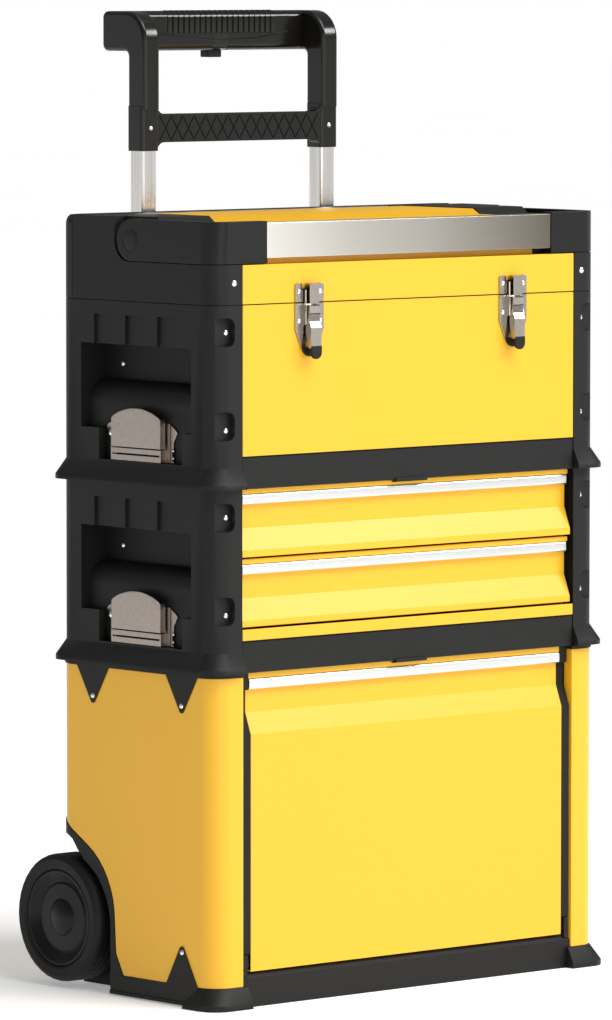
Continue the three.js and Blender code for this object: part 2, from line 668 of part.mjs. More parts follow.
// ---- Tilting bin ----
function binBucket() {
  const top = FRAME_TOP - 0.1;
  const side = [
    [5, 40], [148, 40], [148, 288], [60, 324], [19, 331], [12.5, 331], [12.5, top - 38], [5, top - 58],
  ];
  const cheek = [
    [7, top], [6.4, top], [6.4, top - 17.3], [11.2, top - 17.3], [11.2, top - 40],
    [2.6, top - 62.7], [2.6, 54.4],
    [9, 54.4], [9, top - 62], [18, top - 38], [18, 331], [12, top],
  ];
  let bucket = joined(
    box(-216, 216, 13, 148, 40, 42.5), box(-216, 216, 146, 148, 40, 288), box(-216, 216, 13, 15, 40, 300));
  for (const s of [-1, 1]) {
    const span = (inner, outer) => [s * inner, s * outer].sort((a, b) => a - b);
    bucket = joined(bucket,
      prismX(side, ...span(DOOR_HALF + GAP, 218.5)),
      prismX(cheek, ...span(DOOR_HALF + GAP, CHEEK_HALF)),
      rodX(BIN_AXIS.d, BIN_AXIS.z, ...span(217, 225), 2.4, 16));
  }
  return bucket;
}

add('bin_bucket', binBucket(), black());
add('bin_door', foldedFront(DOOR_HALF, FRAME_TOP - 0.1, 6.1, 17.3, 40, 62.7, 36, 12.6), yellow());
add('bin_pull', pullStrip(DOOR_HALF - 0.5, FRAME_TOP - 6.5, FRAME_TOP - 17.1), aluminium());
add('bin_catch', catchTab(FRAME_TOP - 0.1), black());

// ---- Wheels and axle ----
function turned(profile, side, steps) {
  const points = profile.map(([r, a]) => new THREE.Vector2(r, a));
  const geometry = new THREE.LatheGeometry(points, steps);
  geometry.rotateZ(side * Math.PI / 2);
  geometry.rotateX(side * Math.PI / 2);
  geometry.translate(-side * WHEEL.x, FRONT + WHEEL.d, WHEEL.z);
  return solid(geometry);
}

// Profiles are [radius, distance outwards along the axle]
const half_width = WHEEL.width / 2;
const TYRE = [
  [50, -17], [58, -half_width], [63.2, 2 - half_width], [WHEEL.r, 6 - half_width], [WHEEL.r, half_width - 7],
  [65.1, half_width - 4], [63.2, half_width - 1.6], [61.6, half_width - 1.2], [60.6, half_width],
  [52.4, half_width - 0.4], [50, 17.6], [50, -17],
];
const HUB = [
  [0, 12], [AXLE_R + 0.3, 12], [AXLE_R + 0.3, -17], [12, -17], [49.6, -15], [49.6, 17.6],
  [47, 17.8], [41.5, 13.4], [37, 10], [35, 11.8], [19, 12.6], [18, 14.4], [13, 16.8], [7, 18.1], [0, 18.5],
];
for (const [side, name] of [[1, 'left'], [-1, 'right']]) {
  add(`tyre_${name}`, turned(TYRE, side, 40), rubber());
  add(`wheel_hub_${name}`, turned(HUB, side, 28), black());
}
add('axle', rodX(WHEEL.d, WHEEL.z, -263, 263, AXLE_R, 20), steel());

// ---- Telescopic handle ----
function squareTube(size, wall, z0, z1) {
  const h = size / 2;
  const i = h - wall;
  return box(-TUBE_X - h, -TUBE_X + h, TUBE_D - h, TUBE_D + h, z0, z1)
    .subtract(box(-TUBE_X - i, -TUBE_X + i, TUBE_D - i, TUBE_D + i, z0 - 1, z1 + 1));
}

function bothSides(piece) {
  return piece.add(solid(mirrored(geometryOf(piece))));
}

function handleFrame() {
  const reach = TUBE_X - OUTER_TUBE / 2 + 0.5;
  return joined(
    bothSides(squareTube(OUTER_TUBE, 1.7, 30, 640)),
    box(-reach, reach, 266.5, 272, 290, 315), box(-reach, reach, 266.5, 272, 66, 91));
}

function bracket(z0, z1) {
  return cut(
    box(-150, 150, DEPTH + GAP, TUBE_D - OUTER_TUBE / 2 - GAP, z0, z1),
    box(-105, 105, DEPTH - 1, TUBE_D - OUTER_TUBE / 2 - 4, z0 - 1, z1 + 1));
}

function crossbar() {
  const h = 12.1;
  const sleeve = cut(
    box(-TUBE_X - h, -TUBE_X + h, TUBE_D - h, TUBE_D + h, SLEEVE_BOTTOM, GRIP_BOTTOM - GAP),
    box(-TUBE_X - 10.5, -TUBE_X + 10.5, TUBE_D - 10.5, TUBE_D + 10.5, SLEEVE_BOTTOM - 1, 897));
  return bothSides(sleeve).add(box(-112.5, 112.5, 267.5, 282, 864.8, 894.2));
}

function grip() {
  const side = [
    [263.7, GRIP_BOTTOM], [290.5, GRIP_BOTTOM], ...arc(296.5, 953, 6, 180, 90, 4), [GRIP_BACK - 7, 959],
    ...arc(GRIP_BACK - 7, 966, 7, -90, 0, 4), ...arc(GRIP_BACK - 7, GRIP_TOP - 7, 7, 0, 90, 4),
    ...arc(293.7, GRIP_TOP - 30, 30, 90, 180, 8),
  ];
  const bar = rounded(297, GRIP_BACK, 959, GRIP_TOP, 7, 4);
  return cut(
    joined(bothSides(prismX(side, -134.5, -112.2)), prismX(bar, -113, 113)),
    box(-10.1, 10.1, 306.9, 321.6, 950, 968));
}

addPair('inner_tube', squareTube(INNER_TUBE, SHEET, 150, 895), aluminium);
add('outer_tube_frame', handleFrame(), steel());
add('tube_bracket_upper', bracket(286, 320), black());
add('tube_bracket_lower', bracket(62, 95), black());
add('handle_crossbar', crossbar(), gloss());
add('handle_grip', grip(), gloss());
add('release_button', box(-9.5, 9.5, 307.5, 321, 951.6, 961), black());

export default tool_box;
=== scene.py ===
import json
import math
import bpy
from mathutils import Matrix, Vector


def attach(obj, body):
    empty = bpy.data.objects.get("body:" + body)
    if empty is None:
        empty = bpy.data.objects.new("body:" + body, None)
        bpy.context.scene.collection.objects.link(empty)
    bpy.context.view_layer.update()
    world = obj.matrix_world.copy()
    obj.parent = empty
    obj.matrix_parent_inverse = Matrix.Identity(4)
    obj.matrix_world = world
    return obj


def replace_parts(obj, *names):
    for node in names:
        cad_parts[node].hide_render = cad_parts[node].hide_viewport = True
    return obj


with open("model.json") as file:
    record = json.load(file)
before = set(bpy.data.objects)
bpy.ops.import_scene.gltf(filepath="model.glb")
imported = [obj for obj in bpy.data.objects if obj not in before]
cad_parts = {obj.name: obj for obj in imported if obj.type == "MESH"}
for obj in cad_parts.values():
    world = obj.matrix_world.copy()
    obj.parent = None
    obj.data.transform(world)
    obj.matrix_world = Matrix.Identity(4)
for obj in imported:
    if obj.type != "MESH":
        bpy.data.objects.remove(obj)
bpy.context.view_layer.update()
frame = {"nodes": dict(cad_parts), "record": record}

NODES = frame["nodes"]
SCENE = bpy.context.scene

# ---- Places on the object ----
# Millimetres: x from the middle, depth back from the front panels, z from the ground.
FRONT = -160.0
SEAM = 709.5
BOX_FOOT = 524.8
CABINET_FOOT = 339.1
BODY_HALF = 265.7
DRAW_LATCH_X = 140.35
WHEEL_X = 253.4
WHEEL_DEPTH = 240
WHEEL_Z = 72
TREAD_RADIUS = 66
GROOVE_OFFSETS = (-10, -3, 4, 9.5)  # across the tread, from the middle of the tyre


def place(x, d, z):
    return Vector((x, FRONT + d, z)) / 1000


# ---- Materials ----
def new_material(name):
    material = bpy.data.materials.new(name)
    material.use_nodes = True
    tree = material.node_tree
    return material, tree, tree.nodes["Principled BSDF"]


def node(tree, kind, inputs=None, **settings):
    made = tree.nodes.new(kind)
    for key, value in settings.items():
        setattr(made, key, value)
    for key, value in (inputs or {}).items():
        if isinstance(value, bpy.types.NodeSocket):
            tree.links.new(value, made.inputs[key])
        else:
            made.inputs[key].default_value = value
    return made


def object_coordinates(tree, scale=(1, 1, 1)):
    coordinates = node(tree, "ShaderNodeTexCoord")
    return node(tree, "ShaderNodeMapping",
                {"Vector": coordinates.outputs["Object"], "Scale": scale}).outputs[0]


def noise(tree, vector, scale, detail=3.0, roughness=0.55):
    return node(tree, "ShaderNodeTexNoise",
                {"Vector": vector, "Scale": scale, "Detail": detail, "Roughness": roughness}).outputs[0]


def ramp(tree, value, low, high, from_=0.3, to=0.7):
    made = node(tree, "ShaderNodeMapRange", {"Value": value, "From Min": from_, "From Max": to,
                                             "To Min": low, "To Max": high})
    return made.outputs[0]


def mixed(tree, factor, first, second, blend="MIX"):
    made = node(tree, "ShaderNodeMix", data_type="RGBA", blend_type=blend)
    for socket, value in ((made.inputs[0], factor), (made.inputs[6], first), (made.inputs[7], second)):
        if isinstance(value, bpy.types.NodeSocket):
            tree.links.new(value, socket)
        else:
            socket.default_value = value if isinstance(value, (int, float)) else (*value, 1)
    return made.outputs[2]


def bump(tree, shader, height, strength, distance, below=None):
    made = node(tree, "ShaderNodeBump", {"Height": height, "Strength": strength, "Distance": distance})
    if below:
        tree.links.new(below.outputs[0], made.inputs["Normal"])
    tree.links.new(made.outputs[0], shader.inputs["Normal"])
    return made


def paint(name, colour):
    material, tree, shader = new_material(name)
    where = object_coordinates(tree)
    cloudy = ramp(tree, noise(tree, where, 3.0, 2.0), 0.0, 1.0)
    base = mixed(tree, cloudy, colour, [c * 0.994 for c in colour])
    tree.links.new(base, shader.inputs["Base Color"])
    tree.links.new(ramp(tree, noise(tree, where, 300.0), 0.35, 0.37), shader.inputs["Roughness"])
    # Painted shade: upward faces get much less specular reflection than upright ones, so tops read darker.
    facing = node(tree, "ShaderNodeSeparateXYZ",
                  {"Vector": node(tree, "ShaderNodeNewGeometry").outputs["Normal"]})
    tree.links.new(ramp(tree, facing.outputs[2], 0.5, 0.06, 0.55, 0.9), shader.inputs["Specular IOR Level"])
    bump(tree, shader, noise(tree, where, 160.0, 1.0), 0.02, 0.00005)
    return material


def plastic(name, colour, roughness, grain, strength, specular=0.25):
    material, tree, shader = new_material(name)
    where = object_coordinates(tree)
    patches = ramp(tree, noise(tree, where, 9.0), 0.0, 1.0)
    base = mixed(tree, patches, colour, [c * 1.03 for c in colour])
    tree.links.new(base, shader.inputs["Base Color"])
    tree.links.new(ramp(tree, noise(tree, where, 60.0), roughness - 0.01, roughness + 0.01),
                   shader.inputs["Roughness"])
    shader.inputs["Specular IOR Level"].default_value = specular
    bump(tree, shader, noise(tree, where, grain, 2.0), strength, 0.00008)
    return material


def metal(name, colour, dark, roughness, stretch, strength=0.12, anisotropy=0.0):
    """Metal with a fine grain; stretch is the grain's scale along x, y and z."""
    material, tree, shader = new_material(name)
    grain = noise(tree, object_coordinates(tree, stretch), 1.0, 4.0, 0.65)
    blotch = ramp(tree, noise(tree, object_coordinates(tree), 26.0), 0.0, 1.0)
    streak = ramp(tree, grain, 0.0, 1.0, 0.35, 0.65)
    base = mixed(tree, streak, colour, [c * 0.9 for c in colour])
    base = mixed(tree, mixed_value(tree, blotch, 0.3), base, dark)
    tree.links.new(base, shader.inputs["Base Color"])
    tree.links.new(ramp(tree, grain, roughness - 0.06, roughness + 0.08), shader.inputs["Roughness"])
    shader.inputs["Metallic"].default_value = 1.0
    shader.inputs["Anisotropic"].default_value = anisotropy
    bump(tree, shader, grain, strength, 0.00008)
    return material


def mixed_value(tree, value, factor):
    return node(tree, "ShaderNodeMath", {0: value, 1: factor}, operation="MULTIPLY").outputs[0]


def brushed_bar():
    """Brushed steel with a painted reflection that runs from bright at its left end to dark at its right end.
    """
    material, tree, shader = new_material("brushed_bar_steel")
    where = object_coordinates(tree)
    grain = noise(tree, object_coordinates(tree, (6, 900, 2200)), 1.0, 4.0, 0.7)
    # Painted reflection: the colour runs from bright at the left end to dark at the right end along x.
    x = node(tree, "ShaderNodeSeparateXYZ", {"Vector": where}).outputs[0]
    along = node(tree, "ShaderNodeMapRange", {"Value": x, "From Min": -0.2, "From Max": 0.2}).outputs[0]
    painted_reflection_ramp = node(tree, "ShaderNodeValToRGB", {"Fac": along})
    stops = ((0.0, (0.76, 0.74, 0.69)), (0.3, (0.54, 0.52, 0.475)), (0.55, (0.45, 0.425, 0.385)),
             (1.0, (0.17, 0.155, 0.125)))
    painted_reflection_ramp.color_ramp.elements[1].position = 0.3
    for extra in (0.55, 1.0):
        painted_reflection_ramp.color_ramp.elements.new(extra)
    for element, (_, colour) in zip(painted_reflection_ramp.color_ramp.elements, stops):
        element.color = (*colour, 1)
    streak = ramp(tree, grain, 0.0, 0.6, 0.35, 0.65)
    tree.links.new(mixed(tree, streak, painted_reflection_ramp.outputs[0], (0.42, 0.4, 0.37), "SOFT_LIGHT"),
                   shader.inputs["Base Color"])
    tree.links.new(ramp(tree, grain, 0.3, 0.44), shader.inputs["Roughness"])
    shader.inputs["Metallic"].default_value = 1.0
    bump(tree, shader, grain, 0.15, 0.00006)
    return material


YELLOW = paint("yellow_paint", (0.88, 0.475, 0.020))
BLACK = plastic("black_moulded_plastic", (0.0100, 0.0101, 0.0095), 0.52, 900.0, 0.2)
GLOSS = plastic("black_handle_plastic", (0.0060, 0.0058, 0.0050), 0.2, 700.0, 0.04, 0.38)
ARM = plastic("black_arm_plastic", (0.0082, 0.0083, 0.0080), 0.4, 900.0, 0.1)
DARK = plastic("black_bin_plastic", (0.009, 0.009, 0.0088), 0.6, 900.0, 0.2)
RUBBER = plastic("wheel_rubber", (0.0080, 0.0078, 0.0075), 0.55, 500.0, 0.2)
RIM = plastic("wheel_rim_plastic", (0.0050, 0.0049, 0.0047), 0.36, 800.0, 0.1)
# Painted shade: a near-black material for the strips, blocks and rings that stand for shaded gaps, slots,
# creases and grooves.
GAP_SHADE = plastic("painted_gap_shade", (0.004, 0.004, 0.004), 0.8, 800.0, 0.1, 0.1)
LATCH = metal("nickel_latch_steel", (0.42, 0.365, 0.325), (0.38, 0.33, 0.29), 0.32, (500, 500, 300))
BUCKLE = metal("polished_buckle_steel", (0.48, 0.445, 0.39), (0.38, 0.345, 0.30), 0.2, (400, 400, 400))
ZINC = metal("zinc_plated_steel", (0.62, 0.61, 0.58), (0.45, 0.44, 0.42), 0.38, (120, 120, 120))
ALUMINIUM = metal("drawn_aluminium", (0.84, 0.84, 0.83), (0.78, 0.78, 0.77), 0.3, (5, 900, 900), 0.04)
CHROME = metal("handle_tube_steel", (0.72, 0.70, 0.67), (0.66, 0.64, 0.61), 0.16, (700, 700, 6), 0.05)
RIVET = metal("rivet_steel", (0.88, 0.88, 0.87), (0.74, 0.74, 0.72), 0.24, (300, 300, 300))
BAR = brushed_bar()

BY_SLOT = {"yellow": YELLOW, "black": BLACK, "gloss": ARM, "steel": LATCH, "aluminium": ALUMINIUM,
           "rubber": RUBBER}
SPECIAL = {"carry_handle_bar": BAR, "axle": ZINC, "outer_tube_frame": ZINC, "slide_plate_left": ZINC,
           "slide_plate_right": ZINC, "hinge_leaf_and_pin": ZINC, "hinge_leaf_lid": ZINC,
           "inner_tube_left": CHROME,
           "inner_tube_right": CHROME, "wheel_hub_left": RIM, "wheel_hub_right": RIM, "bin_bucket": DARK,
           "upper_drawer_tray": DARK, "lower_drawer_tray": DARK}
FOLDED = ("upper_drawer_front", "lower_drawer_front", "bin_door")
BEVEL_MM = {"top_shell": 0.8, "lid_panel": 0.8, "carry_handle_bar": 1.2,
            "base_tub": 1.1, "bin_door": 0.7, "wheel_hub_left": 0.7, "wheel_hub_right": 0.7,
            "release_button": 1.5,
            "carry_handle_arm_left": 2.2, "carry_handle_arm_right": 2.2}


def soften(piece, width, angle=32):
    """Merges shared corners, rounds sharp edges and keeps flat faces flat."""
    piece.modifiers.new("weld", "WELD").merge_threshold = 0.00002
    bevel = piece.modifiers.new("edges", "BEVEL")
    bevel.width = width / 1000
    bevel.segments = 2
    bevel.limit_method = "ANGLE"
    bevel.angle_limit = math.radians(angle)
    bevel.use_clamp_overlap = True
    piece.modifiers.new("shading", "WEIGHTED_NORMAL").keep_sharp = True
    for polygon in piece.data.polygons:
        polygon.use_smooth = True
    custom = piece.data.attributes.get("custom_normal")
    if custom:
        piece.data.attributes.remove(custom)


for entry in frame["record"]["subparts"]:
    name = entry["node"]
    piece = NODES[name]
    piece.data.materials.clear()
    piece.data.materials.append(SPECIAL.get(name, BY_SLOT[entry["material_slot"]]))
    soften(piece, BEVEL_MM.get(name, 0.6), 20 if name in FOLDED else 32)


# ---- Pieces made here ----
def mesh_piece(name, verts, faces, material, body, crease=35):
    mesh = bpy.data.meshes.new(name)
    mesh.from_pydata(verts, [], faces)
    mesh.update()
    piece = bpy.data.objects.new(name, mesh)
    SCENE.collection.objects.link(piece)
    mesh.materials.append(material)
    for polygon in mesh.polygons:
        polygon.use_smooth = True
    mesh.set_sharp_from_angle(angle=math.radians(crease))
    piece.modifiers.new("shading", "WEIGHTED_NORMAL").keep_sharp = True
    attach(piece, body)
    return piece


def frame_for(axis):
    """Two directions square to an axis and to each other."""
    axis = Vector(axis).normalized()
    side = axis.cross(Vector((0, 0, 1)) if abs(axis.z) < 0.9 else Vector((0, 1, 0))).normalized()
    return axis, side, axis.cross(side)


def turned(verts, faces, centre, axis, profile, steps=20):
    """Adds a body of revolution.

    profile is [(radius, height along the axis)] in mm, from the axis to the rim.
    """
    axis, side, up = frame_for(axis)
    start = len(verts)
    for radius, height in profile:
        for i in range(steps):
            turn = 2 * math.pi * i / steps
            outward = side * math.cos(turn) + up * math.sin(turn)
            verts.append(centre + (axis * height + outward * radius) / 1000)
    for k in range(len(profile) - 1):
        for i in range(steps):
            a, b = start + k * steps + i, start + k * steps + (i + 1) % steps
            faces.append((a, a + steps, b + steps, b))
    faces.append(tuple(start + i for i in range(steps)))


def block(verts, faces, low, high):
    """Adds a box between two corners."""
    start = len(verts)
    for z in (low.z, high.z):
        for x, y in ((low.x, low.y), (high.x, low.y), (high.x, high.y), (low.x, high.y)):
            verts.append(Vector((x, y, z)))
    for face in ((0, 3, 2, 1), (4, 5, 6, 7), (0, 1, 5, 4), (1, 2, 6, 5), (2, 3, 7, 6), (3, 0, 4, 7)):
        faces.append(tuple(start + i for i in face))


DOME = [(0.4, 1.5), (1.5, 1.35), (2.5, 0.95), (3.1, 0.4), (3.4, -0.2), (3.4, -1.0)]
LEFT_RIGHT = (-1, 1)


def rivets(name, body, places, size=1.0):
    verts, faces = [], []
    for centre, axis in places:
        turned(verts, faces, centre, axis, [(r * size, h * size) for r, h in DOME])
    return mesh_piece(name, verts, faces, RIVET, body)


OUT, BACK = (0, -1, 0), (0, 1, 0)
for name, body, foot in (("box", "box", BOX_FOOT), ("cabinet", "cabinet", CABINET_FOOT)):
    heads = []
    for side in LEFT_RIGHT:
        for height in (58.6, 157.2):
            heads.append((place(side * 244, 7, foot + height), OUT))
            heads.append((place(side * 244, 240, foot + height), BACK))
        heads.append((place(side * 256.8, 172.5, foot + 49.4), (side, 0, 0)))
        heads.append((place(side * 231, 183.6, foot + 118.5), (side, 0, 0)))
    rivets(f"{name}_rivets", body, heads)
rivets("lid_rivets", "lid", [(place(side * 239.3, 0, 731.4), OUT) for side in LEFT_RIGHT])
rivets("frame_rivets", "chassis", [
    (place(side * (BODY_HALF + 1.2), d, z), (side, 0, 0))
    for side in LEFT_RIGHT for d, z in ((50, 305.2), (189.2, 305.2), (49.3, 55.3))], 0.85)
rivets("crossbar_rivets", "pull_handle", [(place(side * 123.2, 265.9, 879.5), OUT) for side in LEFT_RIGHT],
       0.8)
for side, name in zip(LEFT_RIGHT, ("left", "right")):
    across = [side * DRAW_LATCH_X + offset for offset in (-14, 14)]
    rivets(f"draw_latch_{name}_upper_rivets", "lid", [(place(x, -1.8, SEAM + 11), OUT) for x in across], 0.8)
    rivets(f"draw_latch_{name}_lower_rivets", "box", [(place(x, -1.8, SEAM - 18.5), OUT) for x in across],
           0.8)


# ---- Rounded mouldings ----
def arc(u, v, radius, start, end, steps):
    angles = [math.radians(start + (end - start) * i / steps) for i in range(steps + 1)]
    return [(u + radius * math.cos(a), v + radius * math.sin(a)) for a in angles]


def rounded(u0, u1, v0, v1, r, steps=5):
    return (arc(u1 - r, v1 - r, r, 0, 90, steps) + arc(u0 + r, v1 - r, r, 90, 180, steps)
            + arc(u0 + r, v0 + r, r, 180, 270, steps) + arc(u1 - r, v0 + r, r, 270, 360, steps))


def inset(outline, distance):
    """An anticlockwise outline moved inwards."""
    moved = []
    for i, here in enumerate(outline):
        before, after = Vector(outline[i - 1]), Vector(outline[(i + 1) % len(outline)])
        here = Vector(here)
        into, away = (here - before).normalized(), (after - here).normalized()
        miter = Vector((-into.y - away.y, into.x + away.x))
        if miter.length < 1e-6:
            miter = Vector((-into.y, into.x))
        miter.normalize()
        reach = distance / max(0.35, miter.dot(Vector((-into.y, into.x))))
        moved.append(tuple(here + miter * reach))
    return moved


SPOTS = {"x": lambda u, v, w: place(w, u, v), "y": lambda u, v, w: place(u, w, v), "z": lambda u, v,
         w: place(u, v, w)}


def rounded_prism(verts, faces, outline, along, low, high, radius=0.0, steps=3):
    """Adds an outline extruded along x, y or z with rounded ends.

    The outline holds (depth, z) for x, (x, z) for y and (x, depth) for z.
    """
    rings = []
    if radius:
        for i in range(steps + 1):
            a = math.pi / 2 * i / steps
            rings.append((radius * (1 - math.sin(a)), low + radius * (1 - math.cos(a))))
        rings += [(shrink, high + low - level) for shrink, level in reversed(rings)]
    else:
        rings = [(0.0, low), (0.0, high)]
    start, count = len(verts), len(outline)
    for shrink, level in rings:
        for u, v in (inset(outline, shrink) if shrink > 1e-9 else outline):
            verts.append(SPOTS[along](u, v, level))
    for k in range(len(rings) - 1):
        for i in range(count):
            a, b = start + k * count + i, start + k * count + (i + 1) % count
            faces.append((a, a + count, b + count, b) if along == "y" else (a, b, b + count, a + count))
    bottom = [start + i for i in range(count)]
    top = [start + (len(rings) - 1) * count + i for i in range(count)]
    faces.append(tuple(bottom if along == "y" else reversed(bottom)))
    faces.append(tuple(reversed(top) if along == "y" else top))


# ---- Pull handle ----
TUBE_X, TUBE_D = 123.6, 278.0
GRIP_FLOOR, GRIP_TOP, GRIP_BACK = 898.5, 1000.5, 332.0
verts, faces = [], []
leg = ([(263.7, GRIP_FLOOR), (290.5, GRIP_FLOOR)] + arc(296.5, 953, 6, 180, 90, 5) + [(325, 959)]
       + arc(325, 966, 7, -90, 0, 5)[1:] + arc(325, GRIP_TOP - 7, 7, 0, 90, 5)
       + arc(293.7, GRIP_TOP - 30, 30, 90, 180, 12))
for side in LEFT_RIGHT:
    low, high = sorted((side * 134.5, side * 112.2))
    rounded_prism(verts, faces, leg, "x", low, high, 4.2, 4)
bar = rounded(297, GRIP_BACK, 959, GRIP_TOP, 7, 6)
notched = arc(325, GRIP_TOP - 7, 7, 0, 90, 6) + arc(304, GRIP_TOP - 7, 7, 90, 180, 6) + [
    (297, 966), (299, 961), (304, 959), (306.9, 959), (306.9, 968), (321.6, 968), (321.6, 959), (325, 959),
    (330, 961), (332, 966)]
for low, high, section in ((-113, -10.1, bar), (-10.1, 10.1, notched), (10.1, 113, bar)):
    rounded_prism(verts, faces, section, "x", low, high)
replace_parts(mesh_piece("grip_moulding", verts, faces, GLOSS, "pull_handle"), "handle_grip")

verts, faces = [], []
rib = [(299, 976.5), (299, 998), (305, 999.5), (305, 1001.0)] + arc(304.5, 993, 8.2, 95, 180,
                                                                    5) + [(296.3, 978.5), (297.4, 976.5)]
for i in range(20):
    x = -71.3 + 7.5 * i
    rounded_prism(verts, faces, rib[::-1], "x", x - 2.5, x + 2.5)
mesh_piece("grip_ribs", verts, faces, GLOSS, "pull_handle")
# Painted shade: a dark plate behind the grip ribs so the gaps between them read as shaded.
verts, faces = [], []
block(verts, faces, place(-73.5, 296.8, 977.2), place(73.5, 298, 994))
mesh_piece("grip_rib_gap_shade", verts, faces, GAP_SHADE, "pull_handle")

verts, faces = [], []
SMILE_HALF, TUBE_STEPS = 92.0, 24
for i in range(TUBE_STEPS + 1):
    x = -SMILE_HALF + 2 * SMILE_HALF * i / TUBE_STEPS
    z = 970.0 + 8.4 * (x / SMILE_HALF) ** 2
    for u, v in ((296.2, z), (297.4, z + 1.1), (297.4, z - 1.1)):
        verts.append(place(x, u, v))
for i in range(TUBE_STEPS):
    a = 3 * i
    faces += [(a, a + 3, a + 4, a + 1), (a, a + 2, a + 5, a + 3), (a + 1, a + 4, a + 5, a + 2)]
faces += [(0, 1, 2), (3 * TUBE_STEPS, 3 * TUBE_STEPS + 2, 3 * TUBE_STEPS + 1)]
mesh_piece("grip_curve", verts, faces, GLOSS, "pull_handle")

verts, faces = [], []
for side in LEFT_RIGHT:
    sleeve = rounded(side * TUBE_X - 12.1, side * TUBE_X + 12.1, TUBE_D - 12.1, TUBE_D + 12.1, 4.0)
    rounded_prism(verts, faces, sleeve, "z", 856, 902.9, 0.6)
bridge = (arc(-104, 855.8, 9, 180, 90, 5) + arc(104, 855.8, 9, 90, 0, 5) + arc(104, 903.2, 9, 0, -90, 5)
          + arc(-104, 903.2, 9, -90, -180, 5))
rounded_prism(verts, faces, bridge, "y", 267.5, 282)
crossbar = mesh_piece("crossbar_moulding", verts, faces, GLOSS, "pull_handle")
soften(crossbar, 1.2)
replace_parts(crossbar, "handle_crossbar")

# Crossed raised lines on the crossbar
verts, faces = [], []
PITCH, LOW, HIGH = 15.6, 867.0, 892.0
for i in range(14):
    for slant in LEFT_RIGHT:
        x = -101.4 + PITCH * i
        run = slant * PITCH / 2
        line = [(x - run - 0.7, LOW), (x - run + 0.7, LOW), (x + run + 0.7, HIGH), (x + run - 0.7, HIGH)]
        rounded_prism(verts, faces, line, "y", 266.7, 268)
mesh_piece("crossbar_diamonds", verts, faces, GLOSS, "pull_handle")

for side, name in zip(LEFT_RIGHT, ("left", "right")):
    verts, faces = [], []
    tube = rounded(side * TUBE_X - 10.15, side * TUBE_X + 10.15, TUBE_D - 10.15, TUBE_D + 10.15, 3.2)
    rounded_prism(verts, faces, tube, "z", 150, 895)
    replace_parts(mesh_piece(f"pull_tube_{name}", verts, faces, CHROME, "pull_handle"),
                f"inner_tube_{name}")

# Pivot caps of the carrying handle
verts, faces = [], []
for side in LEFT_RIGHT:
    turned(verts, faces, place(side * BODY_HALF, 130.6, 771.6), (side, 0, 0),
           [(0.5, 0.45), (9.2, 0.45), (10.0, 0.1), (10.3, -0.5), (10.9, -0.5), (11.4, 0.35), (12.0, -0.4)],
           36)
mesh_piece("carry_handle_pivot_caps", verts, faces, ARM, "carry_handle")

